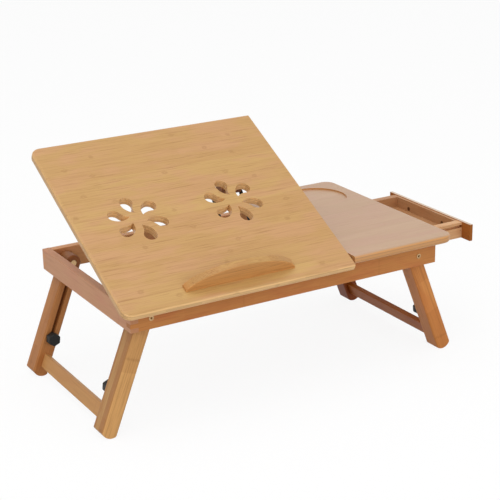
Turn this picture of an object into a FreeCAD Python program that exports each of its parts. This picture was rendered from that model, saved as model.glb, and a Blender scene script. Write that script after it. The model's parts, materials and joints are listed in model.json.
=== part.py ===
import FreeCAD, Part
import math
import os

V = FreeCAD.Vector
X_AXIS = V(1, 0, 0)
Y_AXIS = V(0, 1, 0)
Z_AXIS = V(0, 0, 1)

# A folding bed desk: a shallow wooden frame on two pairs of telescopic folding legs.
# It carries a tilting laptop board on a wire prop and a fixed side panel over a drawer.
# Millimetres. +X runs along the length towards the drawer, +Y from the user to the back.
# Pieces are drawn with X = 0 at the left end, Y = 0 at the front and Z = 0 under the rails.

# Frame; its depth is worked out below from the legs and the drawer between them
frame_length = 508.0
rail_height = 32.0
rail_thickness = 12.0
end_board_thickness = 12.0
finger_count = 5
frame_edge_radius = 0.8

# Side panel and its round recess
panel_thickness = 12.0
panel_length = 181.0
panel_front_overhang = 14.0
panel_back_overhang = 26.5
panel_right_overhang = 25.0
panel_outer_corner = 18.0
plate_edge_radius = 3.6
recess_radius = 50.5
recess_depth = 2.5
recess_from_right = 71.5
recess_from_back = 67.8
panel_dowel_inset = 20.0
panel_dowel_rise = 9.0

# Tilting laptop board, in its own flat frame: X along the hinge, T back from the hinge axis
board_thickness = 12.0
board_left_overhang = 17.3
board_panel_gap = 3.7
board_front_overhang = 18.0
board_reach = 320.4
board_outer_corner = 15.0
board_hinge_gap = 0.4
rest_tilt = 28.0

# Flower cut-outs: each petal is a drop with a swept tail
flower_offset = -9.6
flower_spacing = 154.6
flower_centre_t = 148.3
petal_count = 6
petal_tip_radius = 12.5
petal_outer_radius = 43.8
petal_round_radius = 9.8
petal_sway = 4.0
petal_full_angle = 83.0
petal_slim_angle = 235.0

# Arched laptop stop on the board
stop_offset = 3.5
stop_length = 172.8
stop_height = 30.0
stop_end_height = 3.0
stop_thickness = 12.0
stop_from_axis = 1.0
stop_arch_drop = 6.0
stop_edge_radius = 1.6
stop_screw_offset = 55.0
stop_screw_grip = 10.0

# Butt hinges of the board
hinge_from_left = 60.0
hinge_from_board_right = 48.3
hinge_length = 50.0
hinge_leaf_width = 11.0
hinge_leaf_thickness = 1.0
hinge_knuckle_radius = 2.5
hinge_knuckle_count = 5
hinge_pin_radius = 1.2
hinge_knuckle_gap = 0.2
hinge_relief = 0.4
hinge_screw_pitch = 18.0

# Wire prop under the board: it turns twice as far as the board tilts
prop_pivot_y = 120.0
prop_pivot_z = 12.0
prop_wire_radius = 3.0
prop_stub_bend = 3.8
prop_top_bend = 8.0
prop_stub_depth = 9.0
prop_bearer_length_x = 11.5
prop_bearer_bottom = 4.0
prop_bearer_height = 16.0
prop_bearer_housing = 4.0
prop_bearer_spacing = 56.0
prop_side_gap = 1.0

# Notched block that the prop's crossbar meets
notch_tilts = (32.0, 28.0, 23.0, 17.0)
notch_radius = 3.4
notch_bar_clearance = 0.4
notch_block_length_x = 36.0
notch_block_margin = 7.0
notch_block_back_margin = 16.0
notch_screw_grip = 8.0
notch_screw_offset = 10.0
notch_screw_from_back = 6.0

# Telescopic legs
leg_section = 24.0
leg_width = 30.0
leg_length = 179.8
leg_splay = 21.5
leg_pivot_height = 16.0
leg_rail_gap = 0.5
leg_stop_gap = 0.05
leg_edge_radius = 3.0
leg_shoulder = 13.8
leg_shoulder_gap = 0.2
leg_pocket_section = 16.0
leg_pocket_width = 12.0
leg_pocket_end = 130.0
slat_clearance = 0.2
slat_end = 128.0
foot_radius = 15.0
leg_travel = 80.0

# Stretchers between the lower legs
stretcher_height = 21.0
stretcher_thickness = 8.0
stretcher_centre = 155.0
stretcher_offset = 1.5
stretcher_edge_radius = 1.2
dowel_radius = 3.0
stretcher_dowel_radius = 2.0
dowel_half_length = 12.0
dowel_spacing = 12.0

# Leg pivot bolts, ferrules, nuts and spacers
pivot_bolt_radius = 2.0
pivot_bolt_clearance = 0.06
ferrule_flange_radius = 3.8
ferrule_flange_thickness = 0.8
ferrule_barrel_radius = 3.3
ferrule_length = 8.0
ferrule_seat_depth = 5.0
bolt_head_radius = 2.7
bolt_head_height = 5.5
bolt_socket_width = 3.0
bolt_socket_depth = 3.0
pivot_nut_radius = 4.5
pivot_nut_height = 5.0
pivot_nut_clearance = 0.5
spacer_radius = 9.0

# Clamp bolts and knobs
clamp_centre = 118.0
clamp_bolt_radius = 3.0
clamp_slot_clearance = 0.2
clamp_head_width = 10.0
clamp_head_height = 4.0
clamp_bolt_reach = 12.0
knob_width = 17.5
knob_height = 12.0
knob_turned = 45.0
knob_collar_radius = 7.5
knob_collar_height = 1.5
knob_edge_radius = 2.4
knob_top_radius = 1.5
knob_gap = 0.3
knob_bore_clearance = 0.05

# Stop blocks for the right legs
stop_block_thickness = 12.0
stop_block_width = 30.5
stop_block_counterbore = 12.0
stop_block_screw_inset = 8.0
stop_block_screw_bite = 8.0

# Drawer
drawer_opening = 96.0
drawer_extra_travel = 8.0
drawer_front_near_overhang = 20.0
drawer_front_far_overhang = 15.0
drawer_front_thickness = 6.0
drawer_front_bottom = 4.5
drawer_top_gap = 1.0
drawer_near_leg_gap = 2.0
drawer_far_leg_gap = 11.5
drawer_box_width = 174.5
drawer_box_depth = 133.0
drawer_box_bottom = 5.0
drawer_box_top_gap = 2.0
drawer_side_thickness = 12.0
drawer_inner_front_thickness = 5.0
drawer_back_thickness = 10.0
drawer_bottom_thickness = 4.0
drawer_bottom_height = 4.0
drawer_bottom_housing = 3.0
drawer_lip = 4.0
drawer_groove_height = 5.0
drawer_groove_depth = 6.0
drawer_edge_radius = 1.5
drawer_screw_inset = 43.6
drawer_screw_bite = 4.5
drawer_pin_radius = 1.25

# Drawer guides and the block that stops the drawer
guide_gap = 0.6
guide_thickness = 11.4
guide_height = 20.0
guide_tongue_reach = 5.0
guide_tongue_clearance = 0.3
guide_screw_inset = 20.0
guide_screw_bite = 8.0
drawer_stop_thickness = 8.0
drawer_stop_width = 52.0
drawer_stop_height = 8.0
drawer_stop_screw_offset = 16.0

# Wood screws
screw_head_radius = 3.4
screw_head_height = 2.2
screw_shank_radius = 1.7
hinge_screw_head_radius = 2.4
hinge_screw_head_height = 1.4
hinge_screw_shank_radius = 1.2
hinge_screw_length = 8.5

# How close two places are when they count as one
same_place = 1e-6

# Places worked out from the sizes above
axis_z = rail_height + board_hinge_gap
leg_near_y = rail_thickness + leg_rail_gap
leg_inner_y = leg_near_y + leg_width
drawer_box_start_y = leg_inner_y + drawer_near_leg_gap + guide_thickness + guide_gap
box_far_y = drawer_box_start_y + drawer_box_width
frame_depth = box_far_y + guide_gap + guide_thickness + drawer_far_leg_gap + leg_inner_y
splay = math.radians(leg_splay)
pivot_inset = (end_board_thickness + leg_stop_gap + leg_section / 2 / math.cos(splay)
               + leg_pivot_height * math.tan(splay))
left_pivot_x = pivot_inset
right_pivot_x = frame_length - pivot_inset - stop_block_thickness + end_board_thickness
foot_centre = leg_length - foot_radius
heel_length = foot_centre + math.sqrt(foot_radius ** 2 - (leg_section / 2) ** 2)
floor_z = leg_pivot_height - foot_centre * math.cos(splay) - foot_radius
legs_clear_width = frame_depth - 2 * leg_near_y
panel_left_x = frame_length + panel_right_overhang - panel_length
panel_top_z = rail_height + panel_thickness
board_right_x = panel_left_x - board_panel_gap
board_middle_x = (board_right_x - board_left_overhang) / 2
stop_centre_x = board_middle_x + stop_offset
hinge_centres_x = (hinge_from_left, board_right_x - hinge_from_board_right)
prop_left_bearer_x = (frame_length - prop_bearer_spacing) / 2 - prop_bearer_length_x
prop_bearer_right_x = prop_left_bearer_x + prop_bearer_length_x + prop_bearer_spacing
prop_left_x = prop_left_bearer_x + prop_bearer_length_x + prop_side_gap + prop_wire_radius
prop_right_x = prop_bearer_right_x - prop_side_gap - prop_wire_radius
prop_drop = axis_z - prop_pivot_z
box_back_x = frame_length - drawer_box_depth
box_top_z = rail_height - drawer_box_top_gap
drawer_floor_z = drawer_box_bottom + drawer_bottom_height
nodes = {}


# Basic shapes

def box(x0, x1, y0, y1, z0, z1):
    return Part.makeBox(x1 - x0, y1 - y0, z1 - z0, V(x0, y0, z0))


def rod(radius, start, axis, length):
    return Part.makeCylinder(radius, length, start, axis)


def edges_along(shape, axis):
    # Straight edges of a shape that run along an axis
    found = []
    for edge in shape.Edges:
        if isinstance(edge.Curve, Part.Line):
            if edge.Curve.Direction.cross(axis).Length < same_place:
                found.append(edge)
    return found


def eased_box(x0, x1, y0, y1, z0, z1, axis, radius):
    # A board with its long edges rounded
    blank = box(x0, x1, y0, y1, z0, z1)
    return blank.makeFillet(radius, edges_along(blank, axis))


def hexagon(width, start, length, turned=0.0):
    # A hexagonal prism along Y, `width` across its flats
    reach = width / math.sqrt(3)
    corners = []
    for turn in range(7):
        angle = math.radians(60 * turn + turned)
        corners.append(V(start.x + reach * math.cos(angle), start.y,
                         start.z + reach * math.sin(angle)))
    return Part.Face(Part.makePolygon(corners)).extrude(V(0, length, 0))


def rounded_plate(outer_x, inner_x, y0, y1, z0, thickness, corner):
    # A flat plate, square at its inner end and rounded at its corners and rims elsewhere
    blank = box(min(outer_x, inner_x), max(outer_x, inner_x), y0, y1, z0, z0 + thickness)
    corners = []
    for edge in edges_along(blank, Z_AXIS):
        if abs(edge.BoundBox.XMin - outer_x) < same_place:
            corners.append(edge)
    plate = blank.makeFillet(corner, corners)
    rims = []
    for edge in plate.Edges:
        inner = abs(edge.BoundBox.Center.x - inner_x) < same_place
        if edge.BoundBox.ZLength < same_place and not inner:
            rims.append(edge)
    return plate.makeFillet(plate_edge_radius, rims)


def tangent_arc(start, heading, end):
    # The arc that leaves `start` along `heading` and ends at `end`
    chord = end - start
    half_turn = heading.getAngle(chord) / 2
    middle = V(heading).normalize() + V(chord).normalize()
    reach = chord.Length / 2 / math.cos(half_turn)
    return Part.Arc(start, start + middle.normalize() * reach, end).toShape()


def wood_screw(start, axis, length, head_radius, head_height, shank_radius):
    # A countersunk screw: its head is flush at `start` and it points along `axis`
    head = Part.makeCone(head_radius, shank_radius, head_height, start, axis)
    shank_start = start + V(axis) * head_height
    return head.fuse(rod(shank_radius, shank_start, axis, length - head_height))


def plain_screw(start, axis, length):
    return wood_screw(start, axis, length, screw_head_radius, screw_head_height,
                      screw_shank_radius)


def rounded_path(points, bends):
    # Straight runs through the points, joined by arcs of the given radii
    runs = []
    here = points[0]
    for index in range(1, len(points) - 1):
        corner = points[index]
        back = (points[index - 1] - corner).normalize()
        ahead = (points[index + 1] - corner).normalize()
        half = back.getAngle(ahead) / 2
        reach = bends[index - 1] / math.tan(half)
        middle = (back + ahead).normalize()
        gap = bends[index - 1] / math.sin(half) - bends[index - 1]
        start = corner + back * reach
        end = corner + ahead * reach
        runs.append(Part.LineSegment(here, start).toShape())
        runs.append(Part.Arc(start, corner + middle * gap, end).toShape())
        here = end
    runs.append(Part.LineSegment(here, points[-1]).toShape())
    return Part.Wire(runs)


def without(shape, tools):
    # A shape with its holes and housings cut by the pieces that fill them
    return shape.cut(Part.makeCompound(tools))


# Placing pieces

def on_board(shape):
    # Turn a piece drawn on the flat board to the board's resting tilt
    shape.rotate(V(0, 0, axis_z), X_AXIS, rest_tilt)
    return shape


def on_leg(shape, side, row):
    # Move a piece drawn on an upright near-left leg, its pivot at the origin, to its leg
    shape.rotate(V(0, 0, 0), Y_AXIS, leg_splay)
    place_x = left_pivot_x
    place_y = leg_near_y
    if side == "right":
        shape = shape.mirror(V(0, 0, 0), X_AXIS)
        place_x = right_pivot_x
    if row == "far":
        shape = shape.mirror(V(0, 0, 0), Y_AXIS)
        place_y = frame_depth - leg_near_y
    shape.translate(V(place_x, place_y, leg_pivot_height))
    return shape


def add(name, *solids):
    nodes[name] = list(solids)


# Frame

def pivot_places():
    # Each leg pivot: X, the rail's outer face and the direction into the frame
    places = []
    for pivot_x in (left_pivot_x, right_pivot_x):
        places.append((pivot_x, 0.0, Y_AXIS))
        places.append((pivot_x, frame_depth, V(0, -1, 0)))
    return places


def ferrule(pivot_x, face_y, inward):
    face = V(pivot_x, face_y, leg_pivot_height)
    flange = rod(ferrule_flange_radius, face, inward * -1, ferrule_flange_thickness)
    body = flange.fuse(rod(ferrule_barrel_radius, face, inward, ferrule_length))
    mouth = face - inward * ferrule_flange_thickness
    seat = rod(bolt_head_radius + pivot_bolt_clearance, mouth, inward,
               ferrule_seat_depth + ferrule_flange_thickness)
    return body.cut(seat).cut(rod(pivot_bolt_radius, face, inward, ferrule_length))


def nut_start():
    # Distance from a rail's outer face to its pivot nut, sunk flush in the leg
    return leg_near_y + leg_width - pivot_nut_height


def pivot_bolt(pivot_x, face_y, inward):
    face = V(pivot_x, face_y, leg_pivot_height)
    seat = face + inward * ferrule_seat_depth
    head = rod(bolt_head_radius, seat, inward * -1, bolt_head_height)
    bolt = head.fuse(rod(pivot_bolt_radius, seat, inward,
                         leg_near_y + leg_width - ferrule_seat_depth))
    top_y = face_y + inward.y * (ferrule_seat_depth - bolt_head_height)
    socket = hexagon(bolt_socket_width, V(pivot_x, top_y, leg_pivot_height),
                     inward.y * bolt_socket_depth)
    return bolt.cut(socket)


def pivot_nut(pivot_x, face_y, inward):
    start = V(pivot_x, face_y, leg_pivot_height) + inward * nut_start()
    nut = rod(pivot_nut_radius, start, inward, pivot_nut_height)
    return nut.cut(rod(pivot_bolt_radius, start, inward, pivot_nut_height))


def pivot_spacer(pivot_x, face_y, inward):
    start = V(pivot_x, face_y, leg_pivot_height) + inward * rail_thickness
    ring = rod(spacer_radius, start, inward, leg_rail_gap)
    return ring.cut(rod(pivot_bolt_radius, start, inward, leg_rail_gap))


def finger_slots(first, face_y, depth):
    # Alternate fingers of a corner joint, from the bottom up
    slots = []
    height = rail_height / finger_count
    for index in range(first, finger_count, 2):
        slots.append(box(0, end_board_thickness, face_y, face_y + depth,
                         index * height, (index + 1) * height))
    return slots


def rail(face_y, inner_fixings):
    # A rail: fingers at the left end, pivot holes, and housings for what it carries
    blank = eased_box(0, frame_length, face_y, face_y + rail_thickness, 0, rail_height,
                      X_AXIS, frame_edge_radius)
    cuts = finger_slots(0, face_y, rail_thickness) + inner_fixings
    for pivot_x in (left_pivot_x, right_pivot_x):
        centre = V(pivot_x, face_y, leg_pivot_height)
        cuts.append(rod(pivot_bolt_radius, centre, Y_AXIS, rail_thickness))
    for place in pivot_places():
        if abs(place[1] - face_y) <= rail_thickness:
            face = V(place[0], place[1], leg_pivot_height)
            cuts.append(rod(ferrule_barrel_radius, face, place[2], ferrule_length))
    return without(blank, cuts)


def end_board():
    blank = eased_box(0, end_board_thickness, 0, frame_depth, 0, rail_height,
                      Y_AXIS, frame_edge_radius)
    cuts = finger_slots(1, 0, rail_thickness)
    cuts += finger_slots(1, frame_depth - rail_thickness, rail_thickness)
    return without(blank, cuts)


def stop_blocks():
    # Short blocks behind the rails' right ends: the right legs open against them
    near = box(frame_length - stop_block_thickness, frame_length, rail_thickness,
               rail_thickness + stop_block_width, 0, rail_height)
    far_y = frame_depth - rail_thickness
    far = box(frame_length - stop_block_thickness, frame_length, far_y - stop_block_width,
              far_y, 0, rail_height)
    screws = []
    centre_x = frame_length - stop_block_thickness / 2
    length = stop_block_width - stop_block_counterbore + stop_block_screw_bite
    near_face = rail_thickness + stop_block_width - stop_block_counterbore
    for height in (stop_block_screw_inset, rail_height - stop_block_screw_inset):
        near_start = V(centre_x, near_face, height)
        far_start = V(centre_x, frame_depth - near_face, height)
        screws.append(plain_screw(near_start, V(0, -1, 0), length))
        screws.append(plain_screw(far_start, Y_AXIS, length))
        near = near.cut(rod(screw_head_radius, near_start, Y_AXIS, stop_block_counterbore))
        far = far.cut(rod(screw_head_radius, far_start, V(0, -1, 0), stop_block_counterbore))
    return without(near, screws), without(far, screws), screws


def prop_bearers():
    # Two rails across the frame, housed in the front and back rails, that carry the prop
    bearers = []
    start_y = rail_thickness - prop_bearer_housing
    for left_x in (prop_left_bearer_x, prop_bearer_right_x):
        bearers.append(box(left_x, left_x + prop_bearer_length_x, start_y,
                           frame_depth - start_y, prop_bearer_bottom,
                           prop_bearer_bottom + prop_bearer_height))
    return bearers


def bored_bearer(bearer, inner_x, outward):
    start = V(inner_x, prop_pivot_y, prop_pivot_z)
    hole = rod(prop_wire_radius + pivot_bolt_clearance, start, V(outward, 0, 0),
               prop_stub_depth + prop_side_gap)
    return bearer.cut(hole)


def panel_dowels():
    dowels = []
    for x in (panel_left_x + panel_dowel_inset, frame_length - panel_dowel_inset):
        for y in (rail_thickness / 2, frame_depth - rail_thickness / 2):
            start = V(x, y, rail_height - dowel_half_length)
            dowels.append(rod(dowel_radius, start, Z_AXIS,
                              dowel_half_length + panel_dowel_rise))
    return dowels


def side_panel(fixings):
    right_x = frame_length + panel_right_overhang
    back_y = frame_depth + panel_back_overhang
    plate = rounded_plate(right_x, panel_left_x, -panel_front_overhang, back_y, rail_height,
                          panel_thickness, panel_outer_corner)
    centre = V(right_x - recess_from_right, back_y - recess_from_back,
               panel_top_z - recess_depth)
    recess = rod(recess_radius, centre, Z_AXIS, recess_depth)
    return without(plate, fixings + [recess])


# Drawer guides and stop, under the panel

def drawer_guide(row):
    # A guide strip with a tongue for the groove in the drawer's side
    inner_y = drawer_box_start_y - guide_gap
    body = box(box_back_x, frame_length, inner_y - guide_thickness, inner_y,
               rail_height - guide_height, rail_height)
    tongue_top = box_top_z - drawer_lip - guide_tongue_clearance
    tongue_bottom = (box_top_z - drawer_lip - drawer_groove_height
                     + guide_tongue_clearance)
    tongue = box(box_back_x, frame_length, inner_y, inner_y + guide_tongue_reach,
                 tongue_bottom, tongue_top)
    guide = body.fuse(tongue).removeSplitter()
    screws = []
    for x in (box_back_x + guide_screw_inset, (box_back_x + frame_length) / 2,
              frame_length - guide_screw_inset):
        start = V(x, inner_y - guide_thickness / 2, rail_height - guide_height)
        screws.append(plain_screw(start, Z_AXIS, guide_height + guide_screw_bite))
    if row == "far":
        middle = V(0, drawer_box_start_y + drawer_box_width / 2, 0)
        guide = guide.mirror(middle, Y_AXIS)
        screws = [screw.mirror(middle, Y_AXIS) for screw in screws]
    return without(guide, screws), screws


def drawer_stop():
    # The back of the drawer meets this block at full travel
    back_x = box_back_x + drawer_back_thickness + drawer_opening + drawer_extra_travel
    middle_y = drawer_box_start_y + drawer_box_width / 2
    block = box(back_x, back_x + drawer_stop_thickness, middle_y - drawer_stop_width / 2,
                middle_y + drawer_stop_width / 2, rail_height - drawer_stop_height,
                rail_height)
    screws = []
    for offset in (-drawer_stop_screw_offset, drawer_stop_screw_offset):
        start = V(back_x + drawer_stop_thickness / 2, middle_y + offset,
                  rail_height - drawer_stop_height)
        screws.append(plain_screw(start, Z_AXIS, drawer_stop_height + guide_screw_bite))
    return without(block, screws), screws


# Butt hinges

def knuckle_span(centre_x, index):
    pitch = hinge_length / hinge_knuckle_count
    start = centre_x - hinge_length / 2 + index * pitch
    return start + hinge_knuckle_gap / 2, start + pitch - hinge_knuckle_gap / 2


def hinge_leaf(centre_x, first, bottom_z, bore_radius):
    # A leaf with every second knuckle from `first`, bored for the pin
    near_y = hinge_knuckle_radius + hinge_relief
    top_z = bottom_z + hinge_leaf_thickness
    leaf = box(centre_x - hinge_length / 2, centre_x + hinge_length / 2, near_y,
               hinge_leaf_width, bottom_z, top_z)
    for index in range(first, hinge_knuckle_count, 2):
        x0, x1 = knuckle_span(centre_x, index)
        leaf = leaf.fuse(box(x0, x1, 0, near_y, bottom_z, top_z))
        leaf = leaf.fuse(rod(hinge_knuckle_radius, V(x0, 0, axis_z), X_AXIS, x1 - x0))
    return leaf.cut(rod(bore_radius, V(centre_x - hinge_length / 2, 0, axis_z), X_AXIS,
                        hinge_length))


def hinge_screws(centre_x, start_z, axis):
    screws = []
    for offset in (-hinge_screw_pitch, 0.0, hinge_screw_pitch):
        start = V(centre_x + offset, (hinge_knuckle_radius + hinge_leaf_width) / 2, start_z)
        screws.append(wood_screw(start, axis, hinge_screw_length, hinge_screw_head_radius,
                                 hinge_screw_head_height, hinge_screw_shank_radius))
    return screws


def hinge_cuts(centre_x, bottom_z):
    # The shallow housing for a leaf and the groove that clears the knuckles
    start_x = centre_x - hinge_length / 2
    housing = box(start_x, start_x + hinge_length, 0, hinge_leaf_width, bottom_z,
                  bottom_z + hinge_leaf_thickness)
    groove = rod(hinge_knuckle_radius + hinge_relief, V(start_x - hinge_relief, 0, axis_z),
                 X_AXIS, hinge_length + 2 * hinge_relief)
    return [housing, groove]


# Laptop board and what it carries, drawn flat

def on_round(centre, angle):
    # A point of a petal's round end, and the way that the end runs there as the angle grows
    turn = math.radians(angle)
    outward = V(math.cos(turn), math.sin(turn), 0)
    return centre + outward * petal_round_radius, Z_AXIS.cross(outward)


def petal(centre_x, angle):
    # A drop-shaped hole: its tail bends from the round end to a point near the flower's centre
    centre = V(petal_outer_radius - petal_round_radius, petal_sway, 0)
    tip = V(petal_tip_radius, 0, 0)
    full, full_way = on_round(centre, petal_full_angle)
    slim, slim_way = on_round(centre, petal_slim_angle - 360.0)
    outer = on_round(centre, (petal_full_angle + petal_slim_angle - 360.0) / 2)[0]
    outline = Part.Wire([Part.Arc(slim, outer, full).toShape(),
                         tangent_arc(full, full_way, tip),
                         tangent_arc(slim, slim_way * -1, tip)])
    hole = Part.Face(outline).extrude(V(0, 0, board_thickness))
    hole.rotate(V(0, 0, 0), Z_AXIS, angle)
    hole.translate(V(centre_x, flower_centre_t, axis_z))
    return hole


def flowers():
    holes = []
    for side in (-1, 1):
        centre_x = board_middle_x + flower_offset + side * flower_spacing / 2
        for index in range(petal_count):
            holes.append(petal(centre_x, 90.0 + 360.0 * index / petal_count))
    return holes


def laptop_stop():
    # The arched stop: the top is part of an ellipse centred below the board's face
    half = stop_length / 2
    rise = stop_height + stop_arch_drop
    end_rise = stop_end_height + stop_arch_drop
    reach = half / math.sqrt(1 - (end_rise / rise) ** 2)
    base_z = axis_z + board_thickness
    near_t = stop_from_axis
    flat = Part.Ellipse(V(stop_centre_x, near_t, base_z - stop_arch_drop), reach, rise)
    flat.Axis = V(0, -1, 0)
    flat.XAxis = X_AXIS
    lean = math.acos(half / reach)
    arch = Part.ArcOfEllipse(flat, lean, math.pi - lean)
    ends = (arch.EndPoint, V(stop_centre_x - half, near_t, base_z),
            V(stop_centre_x + half, near_t, base_z), arch.StartPoint)
    outline = [arch.toShape()]
    for index in range(3):
        outline.append(Part.LineSegment(ends[index], ends[index + 1]).toShape())
    solid = Part.Face(Part.Wire(outline)).extrude(V(0, stop_thickness, 0))
    rims = []
    for edge in solid.Edges:
        if isinstance(edge.Curve, Part.Ellipse):
            rims.append(edge)
    return solid.makeFillet(stop_edge_radius, rims)


def stop_screws():
    screws = []
    for offset in (-stop_screw_offset, stop_screw_offset):
        start = V(stop_centre_x + offset, stop_from_axis + stop_thickness / 2, axis_z)
        screws.append(plain_screw(start, Z_AXIS, board_thickness + stop_screw_grip))
    return screws


def crossbar_place(tilt):
    # Where the crossbar lies under the board at a tilt: back from the axis, and below it
    turn = math.radians(tilt)
    back = 2 * prop_pivot_y * math.cos(turn) - prop_drop * math.sin(turn)
    return back, prop_drop * math.cos(turn)


def notch_block():
    # The rack under the board: one notch for each working tilt
    steepest = max(notch_tilts)
    thickness = crossbar_place(steepest)[1] - prop_wire_radius - notch_bar_clearance
    front_t = crossbar_place(steepest)[0] - notch_block_margin
    back_t = crossbar_place(min(notch_tilts))[0] + notch_block_back_margin
    middle_x = (prop_left_x + prop_right_x) / 2
    left_x = middle_x - notch_block_length_x / 2
    bottom_z = axis_z - thickness
    block = box(left_x, left_x + notch_block_length_x, front_t, back_t, bottom_z, axis_z)
    for tilt in notch_tilts:
        start = V(left_x, crossbar_place(tilt)[0], bottom_z)
        block = block.cut(rod(notch_radius, start, X_AXIS, notch_block_length_x))
    screws = []
    for offset in (-notch_screw_offset, notch_screw_offset):
        start = V(middle_x + offset, back_t - notch_screw_from_back, bottom_z)
        screws.append(plain_screw(start, Z_AXIS, thickness + notch_screw_grip))
    return without(block, screws), screws


def laptop_board(fixings):
    plate = rounded_plate(-board_left_overhang, board_right_x, -board_front_overhang,
                          board_reach, axis_z, board_thickness, board_outer_corner)
    return without(plate, fixings)


def prop_bail():
    # A bent wire: stubs in the bearers, two arms, and a crossbar under the board
    length = prop_pivot_y
    stub = prop_stub_depth + prop_side_gap + prop_wire_radius
    y0 = prop_pivot_y
    z0 = prop_pivot_z
    points = [V(prop_left_x - stub, y0, z0), V(prop_left_x, y0, z0),
              V(prop_left_x, y0 + length, z0), V(prop_right_x, y0 + length, z0),
              V(prop_right_x, y0, z0), V(prop_right_x + stub, y0, z0)]
    path = rounded_path(points, (prop_stub_bend, prop_top_bend, prop_top_bend,
                                 prop_stub_bend))
    ring = Part.Wire([Part.Circle(points[0], X_AXIS, prop_wire_radius).toShape()])
    wire = path.makePipeShell([ring], True, False)
    wire.rotate(V(0, y0, z0), X_AXIS, 2 * rest_tilt)
    return wire


# Legs, drawn upright with the pivot at the origin: X = 0 is the leg's middle,
# -X its outer face, Y runs from the rail side inwards

def pocket_range(gap):
    # The pocket's sides across the leg, less a gap
    half = leg_pocket_section / 2 - gap
    near_y = (leg_width - leg_pocket_width) / 2 + gap
    return -half, half, near_y, leg_width - near_y


def clamp_bolt():
    y0 = pocket_range(slat_clearance)[2]
    head = hexagon(clamp_head_width, V(0, y0, -clamp_centre), clamp_head_height)
    shank = rod(clamp_bolt_radius, V(0, y0, -clamp_centre), Y_AXIS,
                leg_width - y0 + clamp_bolt_reach)
    return head.fuse(shank)


def upper_slat():
    half = leg_section / 2
    head = rod(half, V(0, 0, 0), Y_AXIS, leg_width)
    head = head.fuse(box(-half, half, 0, leg_width, -leg_shoulder, 0)).removeSplitter()
    rims = []
    for edge in head.Edges:
        below = edge.BoundBox.ZMax < same_place - leg_shoulder
        if edge.BoundBox.YLength < same_place and not below:
            rims.append(edge)
    head = head.makeFillet(leg_edge_radius, rims)
    x0, x1, y0, y1 = pocket_range(slat_clearance)
    slat = head.fuse(box(x0, x1, y0, y1, -slat_end, -leg_shoulder))
    bore = rod(pivot_bolt_radius + pivot_bolt_clearance, V(0, 0, 0), Y_AXIS, leg_width)
    recess = rod(pivot_nut_radius + pivot_nut_clearance,
                 V(0, leg_width - pivot_nut_height - pivot_nut_clearance, 0), Y_AXIS,
                 pivot_nut_height + pivot_nut_clearance)
    return without(slat, [bore, recess, clamp_bolt()])


def stretcher_dowels(face_y):
    dowels = []
    for offset in (-dowel_spacing / 2, dowel_spacing / 2):
        start = V(stretcher_offset, face_y - dowel_half_length, -stretcher_centre + offset)
        dowels.append(rod(stretcher_dowel_radius, start, Y_AXIS, 2 * dowel_half_length))
    return dowels


def clamp_slot():
    # The slot in the leg's inner wall that the clamp bolt passes through
    radius = clamp_bolt_radius + clamp_slot_clearance
    y0 = pocket_range(0)[3]
    top_z = -clamp_centre + leg_travel
    slot = box(-radius, radius, y0, leg_width, -clamp_centre, top_z)
    for z in (-clamp_centre, top_z):
        slot = slot.fuse(rod(radius, V(0, y0, z), Y_AXIS, leg_width - y0))
    return slot


def lower_leg():
    half = leg_section / 2
    top_z = -leg_shoulder - leg_shoulder_gap
    outer = V(-half, 0, -heel_length)
    inner = V(half, 0, -heel_length)
    sole = Part.Arc(outer, V(0, 0, -leg_length), inner).toShape()
    outline = Part.Wire([Part.LineSegment(V(half, 0, top_z), V(-half, 0, top_z)).toShape(),
                         Part.LineSegment(V(-half, 0, top_z), outer).toShape(), sole,
                         Part.LineSegment(inner, V(half, 0, top_z)).toShape()])
    blank = Part.Face(outline).extrude(V(0, leg_width, 0))
    blank = blank.makeFillet(leg_edge_radius, edges_along(blank, Z_AXIS))
    x0, x1, y0, y1 = pocket_range(0)
    pocket = box(x0, x1, y0, y1, -leg_pocket_end, top_z)
    return without(blank, [pocket, clamp_slot()] + stretcher_dowels(leg_width))


def stretcher():
    bottom_z = -stretcher_centre - stretcher_height / 2
    outer_x = stretcher_offset - stretcher_thickness / 2
    bar = eased_box(outer_x, outer_x + stretcher_thickness, leg_width,
                    legs_clear_width - leg_width, bottom_z, bottom_z + stretcher_height,
                    Y_AXIS, stretcher_edge_radius)
    dowels = stretcher_dowels(leg_width) + stretcher_dowels(legs_clear_width - leg_width)
    return without(bar, dowels), dowels


def knob():
    start_y = leg_width + knob_gap
    collar = rod(knob_collar_radius, V(0, start_y, -clamp_centre), Y_AXIS,
                 knob_collar_height)
    grip = hexagon(knob_width, V(0, start_y + knob_collar_height, -clamp_centre),
                   knob_height, knob_turned)
    grip = grip.makeFillet(knob_edge_radius, edges_along(grip, Y_AXIS))
    crown = []
    for edge in grip.Edges:
        if edge.BoundBox.YMin > start_y + knob_collar_height + knob_height - same_place:
            crown.append(edge)
    body = collar.fuse(grip.makeFillet(knob_top_radius, crown))
    bore = rod(clamp_bolt_radius + knob_bore_clearance,
               V(0, start_y, -clamp_centre), Y_AXIS,
               clamp_bolt_reach + knob_bore_clearance)
    return body.cut(bore)


# Drawer, drawn closed

def drawer_side(row):
    near_y = drawer_box_start_y
    side = box(box_back_x, frame_length, near_y, near_y + drawer_side_thickness,
               drawer_box_bottom, box_top_z)
    groove_top = box_top_z - drawer_lip
    groove = box(box_back_x, frame_length, near_y, near_y + drawer_groove_depth,
                 groove_top - drawer_groove_height, groove_top)
    side = side.cut(groove)
    if row == "far":
        side = side.mirror(V(0, near_y + drawer_box_width / 2, 0), Y_AXIS)
    return side


def drawer_cross_wall(x0, thickness):
    near_y = drawer_box_start_y + drawer_side_thickness
    return box(x0, x0 + thickness, near_y, box_far_y - drawer_side_thickness,
               drawer_box_bottom, box_top_z)


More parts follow.
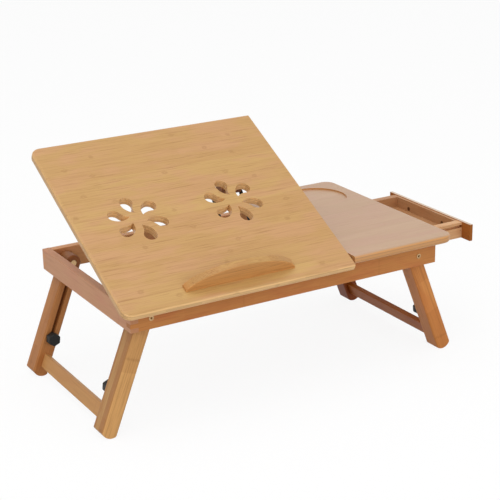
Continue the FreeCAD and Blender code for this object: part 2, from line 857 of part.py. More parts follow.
def drawer_floor():
    # The floor runs into housings in the two sides and the two cross walls
    front_x = frame_length - drawer_inner_front_thickness + drawer_bottom_housing
    side_cover = drawer_side_thickness - drawer_bottom_housing
    return box(box_back_x + drawer_back_thickness - drawer_bottom_housing, front_x,
               drawer_box_start_y + side_cover, box_far_y - side_cover, drawer_floor_z,
               drawer_floor_z + drawer_bottom_thickness)


def drawer_front():
    front = box(frame_length, frame_length + drawer_front_thickness,
                drawer_box_start_y - drawer_front_near_overhang,
                box_far_y + drawer_front_far_overhang, drawer_front_bottom,
                rail_height - drawer_top_gap)
    outer = []
    for edge in front.Edges:
        if edge.BoundBox.XMin > frame_length + drawer_front_thickness - same_place:
            outer.append(edge)
    return front.makeFillet(drawer_edge_radius, outer)


def drawer_fixings():
    # Dowels through the sides into the cross walls, and screws into the drawer front
    dowels = []
    height = (drawer_floor_z + drawer_bottom_thickness + box_top_z - drawer_lip
              - drawer_groove_height) / 2
    length = 2 * drawer_side_thickness
    for x in (box_back_x + drawer_back_thickness / 2,
              frame_length - drawer_inner_front_thickness / 2):
        near = V(x, drawer_box_start_y, height)
        dowels.append(rod(drawer_pin_radius, near, Y_AXIS, length))
        dowels.append(rod(drawer_pin_radius, V(x, box_far_y, height), V(0, -1, 0), length))
    screws = []
    for y in (drawer_box_start_y + drawer_screw_inset, box_far_y - drawer_screw_inset):
        start = V(frame_length - drawer_inner_front_thickness, y,
                  (drawer_box_bottom + box_top_z) / 2)
        screws.append(plain_screw(start, X_AXIS,
                                  drawer_inner_front_thickness + drawer_screw_bite))
    return dowels, screws


# Assemblies

def build_frame():
    fixed_leaves = []
    moving_leaves = []
    pins = []
    fixed_screws = []
    moving_screws = []
    rail_cuts = []
    board_cuts = []
    fixed_z = rail_height - hinge_leaf_thickness
    for centre_x in hinge_centres_x:
        lower = hinge_leaf(centre_x, 0, fixed_z, hinge_pin_radius)
        upper = hinge_leaf(centre_x, 1, axis_z, hinge_pin_radius + pivot_bolt_clearance)
        down = hinge_screws(centre_x, rail_height, V(0, 0, -1))
        up = hinge_screws(centre_x, axis_z, Z_AXIS)
        fixed_leaves.append(without(lower, down))
        moving_leaves.append(on_board(without(upper, up)))
        fixed_screws += down
        moving_screws += up
        rail_cuts += hinge_cuts(centre_x, fixed_z)
        board_cuts += hinge_cuts(centre_x, axis_z)
        start = V(centre_x - hinge_length / 2, 0, axis_z)
        pins.append(rod(hinge_pin_radius, start, X_AXIS, hinge_length))
    bearers = prop_bearers()
    dowels = panel_dowels()
    near_block, far_block, block_screws = stop_blocks()
    near_guide, near_screws = drawer_guide("near")
    far_guide, far_screws = drawer_guide("far")
    stop, drawer_stop_screws = drawer_stop()
    shared = bearers + dowels + block_screws
    add("front_rail", rail(0, shared + rail_cuts + fixed_screws))
    add("back_rail", rail(frame_depth - rail_thickness, shared))
    add("left_end_board", end_board())
    add("side_panel", side_panel(dowels + near_screws + far_screws + drawer_stop_screws))
    add("panel_dowels", *dowels)
    add("stop_block_near", near_block)
    add("stop_block_far", far_block)
    add("stop_block_screws", *block_screws)
    add("prop_bearer_left", bored_bearer(bearers[0], prop_left_x - prop_wire_radius
                                         - prop_side_gap, -1))
    add("prop_bearer_right", bored_bearer(bearers[1], prop_bearer_right_x, 1))
    add("drawer_guide_near", near_guide)
    add("drawer_guide_far", far_guide)
    add("guide_screws", *(near_screws + far_screws))
    add("drawer_stop", stop)
    add("drawer_stop_screws", *drawer_stop_screws)
    add("hinge_fixed_leaves", *fixed_leaves)
    add("hinge_pins", *pins)
    add("hinge_fixed_screws", *fixed_screws)
    add("pivot_ferrules", *[ferrule(*place) for place in pivot_places()])
    add("pivot_bolts", *[pivot_bolt(*place) for place in pivot_places()])
    add("pivot_nuts", *[pivot_nut(*place) for place in pivot_places()])
    add("pivot_spacers", *[pivot_spacer(*place) for place in pivot_places()])
    return moving_leaves, moving_screws, board_cuts


def build_board(moving_leaves, moving_screws, board_cuts):
    block, block_screws = notch_block()
    screws = stop_screws()
    cuts = flowers() + board_cuts + moving_screws + block_screws + screws
    add("laptop_board", on_board(laptop_board(cuts)))
    add("laptop_stop", on_board(without(laptop_stop(), screws)))
    add("laptop_stop_screws", *[on_board(screw) for screw in screws])
    add("hinge_moving_leaves", *moving_leaves)
    add("hinge_moving_screws", *[on_board(screw) for screw in moving_screws])
    add("notch_block", on_board(block))
    add("notch_block_screws", *[on_board(screw) for screw in block_screws])
    add("prop_bail", prop_bail())


def build_legs(side):
    for row in ("near", "far"):
        add("upper_slat_" + row + "_" + side, on_leg(upper_slat(), side, row))
        add("lower_leg_" + row + "_" + side, on_leg(lower_leg(), side, row))
        add("clamp_knob_" + row + "_" + side, on_leg(knob(), side, row))
    bar, dowels = stretcher()
    add("stretcher_" + side, on_leg(bar, side, "near"))
    add("stretcher_dowels_" + side, *[on_leg(dowel, side, "near") for dowel in dowels])
    add("clamp_bolts_" + side, *[on_leg(clamp_bolt(), side, row) for row in ("near", "far")])


def build_drawer():
    dowels, screws = drawer_fixings()
    floor = drawer_floor()
    cuts = dowels + screws + [floor]
    pieces = {
        "drawer_front": [without(drawer_front(), screws)],
        "drawer_inner_front": [without(drawer_cross_wall(
            frame_length - drawer_inner_front_thickness, drawer_inner_front_thickness), cuts)],
        "drawer_back": [without(drawer_cross_wall(box_back_x, drawer_back_thickness), cuts)],
        "drawer_side_near": [without(drawer_side("near"), cuts)],
        "drawer_side_far": [without(drawer_side("far"), cuts)],
        "drawer_bottom": [floor],
        "drawer_dowels": dowels,
        "drawer_screws": screws,
    }
    for name, solids in pieces.items():
        for solid in solids:
            solid.translate(V(drawer_opening, 0, 0))
        add(name, *solids)


def origin_place():
    # The middle of the object's resting outline, on the floor
    left = left_pivot_x - heel_length * math.sin(splay) - leg_section / 2 * math.cos(splay)
    right = frame_length + drawer_front_thickness + drawer_opening
    tilt = math.radians(rest_tilt)
    front = -board_front_overhang * math.cos(tilt) - board_thickness * math.sin(tilt)
    back = frame_depth + panel_back_overhang
    return V((left + right) / 2, (front + back) / 2, floor_z)


def export_nodes():
    os.makedirs("parts", exist_ok=True)
    shift = origin_place() * -1
    for name, solids in nodes.items():
        for solid in solids:
            solid.translate(shift)
        shape = solids[0] if len(solids) == 1 else Part.makeCompound(solids)
        shape.exportStep("parts/" + name + ".step")
    print(len(nodes), "nodes; origin at", origin_place())


build_board(*build_frame())
for leg_side in ("left", "right"):
    build_legs(leg_side)
build_drawer()
export_nodes()
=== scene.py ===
import bpy
import json
import math
from mathutils import Matrix, Vector


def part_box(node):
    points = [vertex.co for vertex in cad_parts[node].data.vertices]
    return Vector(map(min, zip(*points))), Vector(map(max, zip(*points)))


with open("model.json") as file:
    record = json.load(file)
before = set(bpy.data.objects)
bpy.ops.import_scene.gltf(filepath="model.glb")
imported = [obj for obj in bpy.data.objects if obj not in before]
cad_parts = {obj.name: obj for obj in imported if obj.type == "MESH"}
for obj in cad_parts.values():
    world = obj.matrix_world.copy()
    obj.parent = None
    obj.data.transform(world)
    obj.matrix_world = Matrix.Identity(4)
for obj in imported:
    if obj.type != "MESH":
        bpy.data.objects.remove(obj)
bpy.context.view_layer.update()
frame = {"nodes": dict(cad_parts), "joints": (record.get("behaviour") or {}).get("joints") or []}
nodes = frame["nodes"]
print("frame loaded:", len(nodes), "nodes")


# ---- view ----
# the desk seen from its front left, a little above, in metres and degrees
viewPoint = {
    "place": (-0.99959, -1.69020, 0.86776),
    "yaw": 30.38,
    "pitch": 19.54,
    "roll": -0.97,
    "lens": 99.3,
}


def makeCamera(view):
    yaw, pitch, roll = (math.radians(view[key]) for key in ("yaw", "pitch", "roll"))
    ahead = Vector((math.sin(yaw) * math.cos(pitch), math.cos(yaw) * math.cos(pitch),
                    -math.sin(pitch)))
    right = Vector((math.cos(yaw), -math.sin(yaw), 0))
    up = right.cross(ahead)
    rolledRight = right * math.cos(roll) + up * math.sin(roll)
    rolledUp = up * math.cos(roll) - right * math.sin(roll)
    turn = Matrix((rolledRight, rolledUp, -ahead)).transposed()
    data = bpy.data.cameras.new("view")
    data.sensor_width = 36
    data.lens = view["lens"]
    camera = bpy.data.objects.new("view", data)
    camera.matrix_world = Matrix.Translation(view["place"]) @ turn.to_4x4()
    bpy.context.collection.objects.link(camera)
    bpy.context.scene.camera = camera


makeCamera(viewPoint)
print("camera placed")


# ---- small helpers for material nodes ----

class Tree:
    # a node tree with short calls for the nodes the finishes use
    def __init__(self, owner):
        owner.use_nodes = True
        self.tree = owner.node_tree
        self.tree.nodes.clear()

    def node(self, kind, **settings):
        made = self.tree.nodes.new(kind)
        for name, value in settings.items():
            setattr(made, name, value)
        return made

    def link(self, source, socket):
        self.tree.links.new(source, socket)

    def feed(self, value, socket):
        # a number or colour goes on the socket, an output is linked to it
        if isinstance(value, bpy.types.NodeSocket):
            self.link(value, socket)
        else:
            socket.default_value = value

    def math(self, operation, *values):
        made = self.node("ShaderNodeMath", operation=operation)
        for value, socket in zip(values, made.inputs):
            self.feed(value, socket)
        return made.outputs[0]

    def ramp(self, value, low, high):
        # 0 below low, 1 above high, smooth between
        made = self.node("ShaderNodeMapRange", interpolation_type="SMOOTHSTEP")
        self.feed(value, made.inputs["Value"])
        made.inputs["From Min"].default_value = low
        made.inputs["From Max"].default_value = high
        return made.outputs["Result"]

    def scaled(self, vector, scale):
        made = self.node("ShaderNodeVectorMath", operation="MULTIPLY")
        self.link(vector, made.inputs[0])
        made.inputs[1].default_value = scale
        return made.outputs[0]

    def noise(self, vector, detail=2.0, roughness=0.5, distortion=0.0):
        made = self.node("ShaderNodeTexNoise")
        self.link(vector, made.inputs["Vector"])
        made.inputs["Scale"].default_value = 1.0
        made.inputs["Detail"].default_value = detail
        made.inputs["Roughness"].default_value = roughness
        made.inputs["Distortion"].default_value = distortion
        return made.outputs["Fac"]

    def chance(self, seed):
        # a fixed random number from 0 to 1 for each whole seed
        made = self.node("ShaderNodeTexWhiteNoise", noise_dimensions="1D")
        self.link(seed, made.inputs["W"])
        return made.outputs["Value"]

    def mix(self, amount, first, second):
        # this node has a set of sockets for each data type: 6, 7 and 2 are the colours
        made = self.node("ShaderNodeMix", data_type="RGBA")
        self.feed(amount, made.inputs[0])
        self.feed(first, made.inputs[6])
        self.feed(second, made.inputs[7])
        return made.outputs[2]

    def roughen(self, shader, height, strength, distance):
        # a slight relief on a shader, from a height
        bump = self.node("ShaderNodeBump")
        bump.inputs["Strength"].default_value = strength
        bump.inputs["Distance"].default_value = distance
        self.link(height, bump.inputs["Height"])
        self.link(bump.outputs[0], shader.inputs["Normal"])

    def blend(self, amount, first, second):
        made = self.node("ShaderNodeMixShader")
        self.link(amount, made.inputs[0])
        self.link(first.outputs[0], made.inputs[1])
        self.link(second.outputs[0], made.inputs[2])
        return made

    def finish(self, shader, kind="ShaderNodeOutputMaterial"):
        output = self.node(kind)
        self.link(shader.outputs[0], output.inputs["Surface"])


def rgb(red, green, blue):
    return (red, green, blue, 1.0)


# ---- bamboo ----
# what all the bamboo shares: lengths and widths in metres, shares from 0 to 1, and ranges of
# noise, chance or facing over which a mark fades in
bamboo = {
    "fibreLength": 0.050,
    "fibreWidth": 0.0010,
    "fibreRange": (0.42, 0.75),
    "lineLength": 0.085,
    "lineWidth": 0.0024,
    "lineRange": (0.57, 0.68),
    "blotchLength": 0.070,
    "blotchWidth": 0.022,
    "blotchRange": (0.42, 0.66),
    "segment": 0.055,
    "segmentRange": (0.55, 0.9),
    "segmentOffset": 7.0,      # how many segments one strip is set off from the next at most
    "knotSpacing": 0.23,
    "knotWander": 0.04,
    "knotLength": 0.0050,
    "knotWidth": 0.0036,
    "knotRange": (0.1, 0.6),
    "knotWaver": 3.0,          # how far a knot's ring strays from an oval
    "knuckleWidth": 0.0024,
    "knuckleCore": 0.3,
    "haloWidth": 4.5,          # in knuckle widths
    "haloShare": 0.4,
    "seamWidth": 0.0005,
    "layerSeamWidth": 0.0006,
    "endGrain": 0.30,
    "endRange": (0.6, 0.9),
    "rimRange": (0.9, 0.5),
    "roughness": 0.44,
    "roughnessSpread": 0.16,
    "coatRoughness": 0.25,
    "bump": 0.12,
    "bumpDistance": 0.0004,
    "grooves": -0.6,
    "layerSeed": 37.0,
    "offsetSeed": 0.37,
    "segmentSeed": 0.613,
}


def turnedTo(t, vector, look, kind):
    # the vector turned so that the grain runs along its X
    mapping = t.node("ShaderNodeMapping", vector_type=kind)
    t.link(vector, mapping.inputs["Vector"])
    mapping.inputs["Rotation"].default_value = [math.radians(a) for a in look["turn"]]
    if kind == "POINT":
        mapping.inputs["Location"].default_value = look["shift"]
    split = t.node("ShaderNodeSeparateXYZ")
    t.link(mapping.outputs[0], split.inputs[0])
    return mapping.outputs[0], split.outputs


def drawnOut(t, placed, length, width):
    # the place scaled so that noise on it is long along the grain and narrow across
    return t.scaled(placed, (1 / length, 1 / width, 1 / width))


def bambooMaterial(look):
    # strips run along the grain: each has its own tone, fibres, dark lines, knots and knuckles
    material = bpy.data.materials.new(look["name"])
    t = Tree(material)
    coord = t.node("ShaderNodeTexCoord")
    placed, (along, across, deep) = turnedTo(t, coord.outputs["Object"], look, "POINT")
    facing = turnedTo(t, coord.outputs["Normal"], look, "VECTOR")[1]

    # strip number across the piece and through its thickness, and two chances for each strip
    strips = t.math("DIVIDE", across, look["strip"])
    layers = t.math("DIVIDE", deep, look["layer"])
    number = t.math("MULTIPLY_ADD", t.math("FLOOR", layers), bamboo["layerSeed"],
                    t.math("FLOOR", strips))
    tone = t.chance(number)
    offset = t.chance(t.math("ADD", number, bamboo["offsetSeed"]))
    block = t.math("FLOOR", t.math("MULTIPLY_ADD", offset, bamboo["segmentOffset"],
                                   t.math("DIVIDE", along, bamboo["segment"])))
    segment = t.ramp(t.chance(t.math("MULTIPLY_ADD", block, bamboo["segmentSeed"], number)),
                     *bamboo["segmentRange"])

    # broad blotches, fine fibres and thin dark lines, all drawn out along the grain
    blotch = t.noise(drawnOut(t, placed, bamboo["blotchLength"], bamboo["blotchWidth"]), 3.0)
    fibre = t.noise(drawnOut(t, placed, bamboo["fibreLength"], bamboo["fibreWidth"]), 3.0, 0.6)
    lines = t.noise(drawnOut(t, placed, bamboo["lineLength"], bamboo["lineWidth"]), 5.0, 0.66,
                    0.25)
    line = t.ramp(lines, *bamboo["lineRange"])

    # knuckles: a thin dark line across the strip, once per spacing, with a paler zone beside it
    spacings = t.math("ADD", t.math("DIVIDE", along, bamboo["knotSpacing"]),
                      t.math("MULTIPLY_ADD", blotch, bamboo["knotWander"], offset))
    away = t.math("MULTIPLY", t.math("SUBTRACT", t.math("FRACT", spacings), 0.5),
                  bamboo["knotSpacing"])
    distance = t.math("ABSOLUTE", away)
    width = bamboo["knuckleWidth"]
    knuckle = t.math("SUBTRACT", 1.0, t.ramp(distance, width * bamboo["knuckleCore"], width))
    halo = t.math("SUBTRACT", 1.0, t.ramp(distance, width, width * bamboo["haloWidth"]))

    # knots: a dark oval ring in the middle of the strip where its knuckle is
    middle = t.math("SUBTRACT", t.math("FRACT", strips), 0.5)
    beside = t.math("MULTIPLY", middle, look["strip"])
    longWay = t.math("POWER", t.math("DIVIDE", away, bamboo["knotLength"]), 2.0)
    wideWay = t.math("POWER", t.math("DIVIDE", beside, bamboo["knotWidth"]), 2.0)
    oval = t.math("ADD", t.math("SQRT", t.math("ADD", longWay, wideWay)),
                  t.math("MULTIPLY_ADD", lines, bamboo["knotWaver"], -bamboo["knotWaver"] / 2))
    knot = t.math("SUBTRACT", 1.0, t.ramp(t.math("ABSOLUTE", t.math("SUBTRACT", oval, 0.5)),
                                          *bamboo["knotRange"]))

    # glued seams between strips and between layers
    seam = t.ramp(t.math("ABSOLUTE", middle), 0.5 - bamboo["seamWidth"] / look["strip"], 0.5)
    layerEdge = t.math("ABSOLUTE", t.math("SUBTRACT", t.math("FRACT", layers), 0.5))
    layerSeam = t.ramp(layerEdge, 0.5 - bamboo["layerSeamWidth"] / look["layer"], 0.5)

    # faces across the grain, and faces square to the layers
    endGrain = t.ramp(t.math("ABSOLUTE", facing[0]), *bamboo["endRange"])
    rim = t.ramp(t.math("ABSOLUTE", facing[2]), *bamboo["rimRange"])

    colour = t.mix(tone, look["pale"], look["deep"])
    colour = t.mix(t.ramp(blotch, *bamboo["blotchRange"]), colour, look["warm"])
    # the rim tone on edges: the edge's own colour in most looks, a painted highlight on the board
    # and painted light on the near left leg
    colour = t.mix(t.math("MULTIPLY", rim, look["rims"]), colour, look["rim"])
    colour = t.mix(t.math("MULTIPLY", segment, look["segments"]), colour, look["deep"])
    darkMarks = ((t.ramp(fibre, *bamboo["fibreRange"]), look["grain"]), (line, look["lines"]),
                 (seam, look["seams"]), (knuckle, look["knuckles"]), (knot, look["knots"]),
                 (layerSeam, look["layerSeams"]), (endGrain, bamboo["endGrain"]))
    for amount, share in darkMarks:
        colour = t.mix(t.math("MULTIPLY", amount, share), colour, look["dark"])
    colour = t.mix(t.math("MULTIPLY", halo, look["knuckles"] * bamboo["haloShare"]), colour,
                   look["pale"])

    shader = t.node("ShaderNodeBsdfPrincipled")
    t.link(colour, shader.inputs["Base Color"])
    spread = bamboo["roughnessSpread"]
    t.link(t.math("MULTIPLY_ADD", fibre, spread, bamboo["roughness"] - spread / 2),
           shader.inputs["Roughness"])
    shader.inputs["Specular IOR Level"].default_value = look["gloss"]
    shader.inputs["Coat Weight"].default_value = look["coat"]
    shader.inputs["Coat Roughness"].default_value = bamboo["coatRoughness"]
    grooves = t.math("ADD", knuckle, t.math("ADD", seam, line))
    t.roughen(shader, t.math("MULTIPLY_ADD", grooves, bamboo["grooves"], fibre), bamboo["bump"],
              bamboo["bumpDistance"])
    t.finish(shader)
    return material


# how each group of pieces is turned for its grain to run along X
tilt = 28.0
splay = 21.5
turns = {
    "board": (-tilt, 0.0, 0.0),
    "legsLeft": (0.0, 90.0 - splay, 0.0),
    "legsRight": (0.0, 90.0 + splay, 0.0),
    "cross": (0.0, 0.0, -90.0),
    "length": (0.0, 0.0, 0.0),
}


def jointPlace(name):
    return Vector([j["pos_m"] for j in frame["joints"] if j["name"] == name][0])


# the two boards are glued from three layers, counted from their undersides
boardUp = Vector((0.0, -math.sin(math.radians(tilt)), math.cos(math.radians(tilt))))
layered = {"thickness": 0.0043, "start": 0.00045}
boardShift = (0.0, 0.0, layered["start"] - jointPlace("board_tilt").dot(boardUp))
panelShift = (0.0, 0.0, layered["start"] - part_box("side_panel")[0][2])

# strips go from pale to deep, blotches are warm, marks are dark, and a rim has its own tone
tones = {
    "board": {
        "pale": rgb(0.601, 0.374, 0.129), "deep": rgb(0.545, 0.307, 0.111),
        "warm": rgb(0.590, 0.324, 0.143), "dark": rgb(0.297, 0.129, 0.035),
        # the board's pale rim tone is a painted highlight along its rounded edges
        "rim": rgb(0.930, 0.580, 0.250),
    },
    # the panel's pinkish tone is its own colour with a painted white sheen mixed in; its rim is
    # the layered edge's own colour
    "panel": {
        "pale": rgb(0.540, 0.332, 0.184), "deep": rgb(0.500, 0.296, 0.157),
        "warm": rgb(0.524, 0.296, 0.173), "dark": rgb(0.323, 0.165, 0.073),
        "rim": rgb(0.616, 0.276, 0.068),
    },
    "rail": {
        "pale": rgb(0.588, 0.242, 0.066), "deep": rgb(0.482, 0.174, 0.043),
        "warm": rgb(0.542, 0.185, 0.055), "dark": rgb(0.259, 0.073, 0.016),
    },
    "inner": {
        "pale": rgb(0.390, 0.170, 0.055), "deep": rgb(0.320, 0.120, 0.034),
        "warm": rgb(0.350, 0.125, 0.040), "dark": rgb(0.180, 0.050, 0.013),
    },
    # the end board's pinkish tone is its own colour with a painted white sheen mixed in
    "end": {
        "pale": rgb(0.666, 0.343, 0.180), "deep": rgb(0.581, 0.278, 0.137),
        "warm": rgb(0.618, 0.284, 0.151), "dark": rgb(0.352, 0.136, 0.051),
    },
    "stop": {
        "pale": rgb(0.560, 0.335, 0.119), "deep": rgb(0.480, 0.253, 0.083),
        "warm": rgb(0.520, 0.274, 0.098), "dark": rgb(0.290, 0.109, 0.030),
        "rim": rgb(0.700, 0.332, 0.103),
    },
    "legLeft": {
        "pale": rgb(0.560, 0.310, 0.112), "deep": rgb(0.430, 0.186, 0.058),
        "warm": rgb(0.480, 0.226, 0.075), "dark": rgb(0.260, 0.098, 0.025),
        # the rim tone makes this leg's front and back faces paler than its sides: painted light
        "rim": rgb(0.740, 0.400, 0.142),
    },
    # a darker tone for the far left leg: painted shade under the desk
    "legFarLeft": {
        "pale": rgb(0.536, 0.236, 0.078), "deep": rgb(0.428, 0.165, 0.045),
        "warm": rgb(0.482, 0.187, 0.053), "dark": rgb(0.247, 0.082, 0.020),
    },
    # a much darker tone for the far right leg and its upper slat: painted shade under the desk
    "legFarRight": {
        "pale": rgb(0.300, 0.072, 0.006), "deep": rgb(0.225, 0.046, 0.003),
        "warm": rgb(0.250, 0.050, 0.004), "dark": rgb(0.115, 0.019, 0.002),
    },
    "stretcherLeft": {
        "pale": rgb(0.660, 0.370, 0.135), "deep": rgb(0.500, 0.222, 0.070),
        "warm": rgb(0.560, 0.268, 0.092), "dark": rgb(0.300, 0.112, 0.028),
    },
    # a darker tone for the right stretcher: painted shade where it sits back under the desk
    "stretcherRight": {
        "pale": rgb(0.440, 0.125, 0.010), "deep": rgb(0.340, 0.082, 0.006),
        "warm": rgb(0.375, 0.090, 0.007), "dark": rgb(0.180, 0.038, 0.003),
    },
    "legRight": {
        "pale": rgb(0.675, 0.278, 0.075), "deep": rgb(0.563, 0.202, 0.049),
        "warm": rgb(0.619, 0.223, 0.057), "dark": rgb(0.323, 0.097, 0.022),
    },
    # the back rail is paler than the front rail: painted light, making up for the light it lacks
    "backRail": {
        "pale": rgb(0.816, 0.432, 0.188), "deep": rgb(0.700, 0.345, 0.141),
        "warm": rgb(0.758, 0.352, 0.160), "dark": rgb(0.408, 0.144, 0.047),
    },
    "drawerFront": {
        "pale": rgb(0.780, 0.640, 0.510), "deep": rgb(0.710, 0.560, 0.430),
        "warm": rgb(0.745, 0.590, 0.460), "dark": rgb(0.250, 0.080, 0.020),
        "rim": rgb(0.410, 0.135, 0.028),
    },
    # the drawer's near side is paler than its other pieces: painted light on that face
    "drawerSide": {
        "pale": rgb(0.749, 0.437, 0.216), "deep": rgb(0.653, 0.353, 0.162),
        "warm": rgb(0.701, 0.377, 0.176), "dark": rgb(0.403, 0.177, 0.073),
    },
    "drawer": {
        "pale": rgb(0.521, 0.279, 0.132), "deep": rgb(0.446, 0.219, 0.096),
        "warm": rgb(0.484, 0.237, 0.106), "dark": rgb(0.298, 0.121, 0.045),
    },
}

# a piece cut from one strip, with plain grain
plainGrain = {
    "strip": 0.5, "layer": 0.5, "shift": (0.0, 0.0, 0.0),
    "grain": 0.36, "lines": 0.30, "segments": 0.3, "knuckles": 0.12, "knots": 0.0,
    "seams": 0.0, "layerSeams": 0.0, "rims": 0.0, "gloss": 0.22, "coat": 0.0,
}


def bambooLook(name, tone, turn, **changes):
    look = dict(plainGrain, rim=tones[tone]["deep"])
    look.update(tones[tone])
    look.update(name=name, turn=turns[turn])
    look.update(changes)
    return look


def paint(node, material):
    slots = nodes[node].data.materials
    slots.clear()
    slots.append(material)


# each look with the nodes that it goes on
bambooPieces = [
    (bambooLook("bambooBoard", "board", "board", strip=0.019, layer=layered["thickness"],
                shift=boardShift, grain=0.34, lines=0.55, seams=0.20, layerSeams=0.45,
                rims=0.9, knuckles=0.03, knots=0.28, coat=0.10, gloss=0.35),
     ["laptop_board"]),
    (bambooLook("bambooPanel", "panel", "length", strip=0.020, layer=layered["thickness"],
                shift=panelShift, grain=0.20, lines=0.20, seams=0.08, layerSeams=0.8,
                rims=0.9, knuckles=0.03, knots=0.10, segments=0.2, coat=0.30, gloss=0.5),
     ["side_panel"]),
    (bambooLook("bambooStop", "stop", "board", layer=0.016, knuckles=0.0, grain=0.5, lines=0.6,
                rims=0.9),
     ["laptop_stop"]),
    (bambooLook("bambooFrontRail", "rail", "length"), ["front_rail"]),
    (bambooLook("bambooBackRail", "backRail", "length", shift=(0.31, 0.0, 0.0)), ["back_rail"]),
    (bambooLook("bambooEnd", "end", "cross", lines=0.2), ["left_end_board"]),
    (bambooLook("bambooCross", "inner", "cross"),
     ["prop_bearer_left", "prop_bearer_right", "stop_block_near", "stop_block_far", "notch_block",
      "drawer_stop"]),
    (bambooLook("bambooStretcherLeft", "stretcherLeft", "cross", strip=0.0105),
     ["stretcher_left"]),
    (bambooLook("bambooStretcherRight", "stretcherRight", "cross", strip=0.0105),
     ["stretcher_right"]),
    (bambooLook("bambooGuide", "inner", "length"), ["drawer_guide_near", "drawer_guide_far"]),
    (bambooLook("bambooDrawerCross", "drawer", "cross"),
     ["drawer_inner_front", "drawer_back"]),
    (bambooLook("bambooDrawerFront", "drawerFront", "cross", rims=1.0, segments=0.0,
                knuckles=0.0, gloss=0.04),
     ["drawer_front"]),
    (bambooLook("bambooDrawerLength", "drawer", "length"),
     ["drawer_side_far", "drawer_bottom"]),
    (bambooLook("bambooDrawerSide", "drawerSide", "length"), ["drawer_side_near"]),
]

# the legs are glued from narrow strips of short segments, and one upper slat is darker as painted
# shade
legGrain = {"strip": 0.0105, "grain": 0.42, "lines": 0.4, "seams": 0.25, "segments": 0.75,
            "knuckles": 0.2, "knots": 0.25}
legPieces = {
    "Left": ["lower_leg_near_left", "upper_slat_near_left"],
    "FarLeft": ["lower_leg_far_left"],
    "Right": ["lower_leg_near_right", "upper_slat_near_right"],
    "FarRight": ["lower_leg_far_right", "upper_slat_far_right"],
}
legShift = 0.17  # each leg is cut from another place in the strips
for index, (leg, names) in enumerate(legPieces.items()):
    turn = "legsLeft" if leg.endswith("Left") else "legsRight"
    # the near left leg alone has its front and back faces paler: painted light
    rims = 0.8 if leg == "Left" else 0.0
    bambooPieces.append((bambooLook("bambooLeg" + leg, "leg" + leg, turn, rims=rims,
                                    shift=(legShift * index, 0.0, 0.0), **legGrain), names))
# the far left upper slat takes the darker inner tone: painted shade
bambooPieces.append((bambooLook("bambooHead", "inner", "legsLeft"), ["upper_slat_far_left"]))

for look, names in bambooPieces:
    bambooFinish = bambooMaterial(look)
    for node in names:
        paint(node, bambooFinish)
print("bamboo finished:", len(bambooPieces), "looks")


# ---- metal, plastic and dowels ----

speckRange = (0.3, 0.7)
speckRelief = 0.0003  # in metres


def plainMaterial(name, look):
    # a base colour broken up by fine noise in tone and roughness, with a slight relief
    material = bpy.data.materials.new(name)
    t = Tree(material)
    coord = t.node("ShaderNodeTexCoord").outputs["Object"]
    speck = t.noise(t.scaled(coord, (look["scale"],) * 3), 3.0, 0.6)
    shader = t.node("ShaderNodeBsdfPrincipled")
    colour = t.mix(t.ramp(speck, *speckRange), look["colour"], look["second"])
    t.link(colour, shader.inputs["Base Color"])
    shader.inputs["Metallic"].default_value = look["metal"]
    shader.inputs["Specular IOR Level"].default_value = look["gloss"]
    t.link(t.math("MULTIPLY_ADD", speck, look["spread"], look["roughness"] - look["spread"] / 2),
           shader.inputs["Roughness"])
    t.roughen(shader, speck, look["bump"], speckRelief)
    t.finish(shader)
    return material


plainLooks = {
    "knobPlastic": {
        "colour": rgb(0.008, 0.008, 0.007), "second": rgb(0.014, 0.013, 0.012), "metal": 0.0,
        "roughness": 0.48, "spread": 0.12, "scale": 1500.0, "bump": 0.15, "gloss": 0.22,
        "nodes": ["clamp_knob_" + row + "_" + side for row in ("near", "far")
                  for side in ("left", "right")],
    },
    "blackSteel": {
        "colour": rgb(0.030, 0.030, 0.033), "second": rgb(0.055, 0.053, 0.052), "metal": 0.6,
        "roughness": 0.42, "spread": 0.15, "scale": 700.0, "bump": 0.08, "gloss": 0.4,
        "nodes": ["prop_bail", "clamp_bolts_left", "clamp_bolts_right"],
    },
    "satinBrass": {
        "colour": rgb(0.55, 0.36, 0.19), "second": rgb(0.42, 0.27, 0.13), "metal": 1.0,
        "roughness": 0.34, "spread": 0.16, "scale": 900.0, "bump": 0.06, "gloss": 0.5,
        "nodes": ["pivot_ferrules", "pivot_bolts", "pivot_nuts", "hinge_fixed_leaves",
                  "hinge_moving_leaves", "hinge_pins", "hinge_fixed_screws",
                  "hinge_moving_screws"],
    },
    "zincSteel": {
        "colour": rgb(0.55, 0.55, 0.56), "second": rgb(0.42, 0.42, 0.44), "metal": 1.0,
        "roughness": 0.36, "spread": 0.16, "scale": 900.0, "bump": 0.06, "gloss": 0.5,
        "nodes": ["stop_block_screws", "guide_screws", "drawer_stop_screws",
                  "laptop_stop_screws", "notch_block_screws"],
    },
    "bronzedSteel": {
        "colour": rgb(0.20, 0.11, 0.05), "second": rgb(0.14, 0.07, 0.03), "metal": 0.8,
        "roughness": 0.45, "spread": 0.16, "scale": 900.0, "bump": 0.06, "gloss": 0.4,
        "nodes": ["drawer_screws"],
    },
    "beechDowel": {
        "colour": rgb(0.54, 0.30, 0.14), "second": rgb(0.44, 0.22, 0.09), "metal": 0.0,
        "roughness": 0.6, "spread": 0.15, "scale": 420.0, "bump": 0.12, "gloss": 0.25,
        "nodes": ["panel_dowels", "stretcher_dowels_left", "stretcher_dowels_right",
                  "drawer_dowels"],
    },
    "paleNylon": {
        "colour": rgb(0.70, 0.69, 0.65), "second": rgb(0.62, 0.61, 0.57), "metal": 0.0,
        "roughness": 0.5, "spread": 0.1, "scale": 800.0, "bump": 0.05, "gloss": 0.4,
        "nodes": ["pivot_spacers"],
    },
}
for name, look in plainLooks.items():
    plainFinish = plainMaterial(name, look)
    for node in look["nodes"]:
        paint(node, plainFinish)
print("metal, plastic and dowels finished")


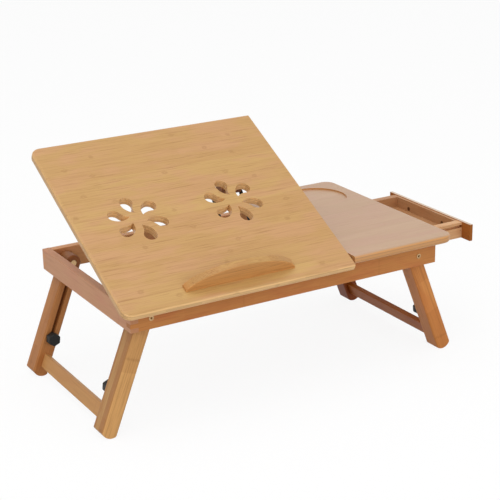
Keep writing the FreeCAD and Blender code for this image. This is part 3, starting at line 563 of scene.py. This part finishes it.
# ---- floor, background and lamps ----
white = rgb(1.0, 1.0, 1.0)
studio = {
    "floorHalf": 6.0,
    "floorHeight": -0.0005,
    "floorBounce": 0.45,
    "shadow": 0.10,
    "sky": 0.62,
}
lamps = {
    "above": {"place": (-0.5, -0.4, 2.6), "aim": (0.0, 0.0, 0.1), "size": 2.6, "power": 27.0},
    "front": {"place": (0.7, -2.7, 0.6), "aim": (0.0, 0.0, 0.1), "size": 1.8, "power": 13.6},
    "frontLeft": {"place": (-2.2, -2.0, 1.2), "aim": (0.0, 0.0, 0.1), "size": 2.0,
                  "power": 16.0},
}


def seenWhite(t):
    # 1 for the eye and in reflections, 0 for the light that falls on the desk
    path = t.node("ShaderNodeLightPath")
    return t.math("MAXIMUM", path.outputs["Is Camera Ray"],
                  t.math("MAXIMUM", path.outputs["Is Glossy Ray"],
                         path.outputs["Is Transmission Ray"]))


def makeFloor():
    half = studio["floorHalf"]
    low = studio["floorHeight"]
    mesh = bpy.data.meshes.new("floor")
    mesh.from_pydata([(-half, -half, low), (half, -half, low), (half, half, low),
                      (-half, half, low)], [], [(0, 1, 2, 3)])
    floor = bpy.data.objects.new("floor", mesh)
    bpy.context.collection.objects.link(floor)
    material = bpy.data.materials.new("floorWhite")
    t = Tree(material)
    diffuse = t.node("ShaderNodeBsdfDiffuse")
    seen = seenWhite(t)
    bounce = studio["floorBounce"]
    t.link(t.mix(seen, rgb(bounce, bounce, bounce), white), diffuse.inputs["Color"])
    # the eye looks through the floor to the white around it, so that drawn-out legs still show
    clear = t.node("ShaderNodeBsdfTransparent")
    t.finish(t.blend(t.math("MULTIPLY", seen, 1 - studio["shadow"]), diffuse, clear))
    mesh.materials.append(material)
    # the lamps shine through it too: this list leaves it out of what casts their shadows
    unshaded = bpy.data.collections.new("unshaded")
    unshaded.objects.link(floor)
    unshaded.collection_objects[0].light_linking.link_state = "EXCLUDE"
    return unshaded


def makeWorld():
    # white to the eye, and dimmer as a light
    world = bpy.data.worlds.new("studio")
    bpy.context.scene.world = world
    t = Tree(world)
    skies = []
    for strength in (studio["sky"], 1.0):
        sky = t.node("ShaderNodeBackground")
        sky.inputs["Color"].default_value = white
        sky.inputs["Strength"].default_value = strength
        skies.append(sky)
    t.finish(t.blend(seenWhite(t), *skies), "ShaderNodeOutputWorld")


def makeLamp(name, lamp, unshaded):
    data = bpy.data.lights.new(name, "AREA")
    data.shape = "SQUARE"
    data.size = lamp["size"]
    data.energy = lamp["power"]
    light = bpy.data.objects.new(name, data)
    place = Vector(lamp["place"])
    aim = Vector(lamp["aim"]) - place
    turn = aim.to_track_quat("-Z", "Y").to_matrix().to_4x4()
    light.matrix_world = Matrix.Translation(place) @ turn
    light.light_linking.blocker_collection = unshaded
    bpy.context.collection.objects.link(light)


unshaded = makeFloor()
makeWorld()
for name, lamp in lamps.items():
    makeLamp(name, lamp, unshaded)
bpy.context.scene.view_settings.view_transform = "Standard"
print("floor, background and lamps ready")
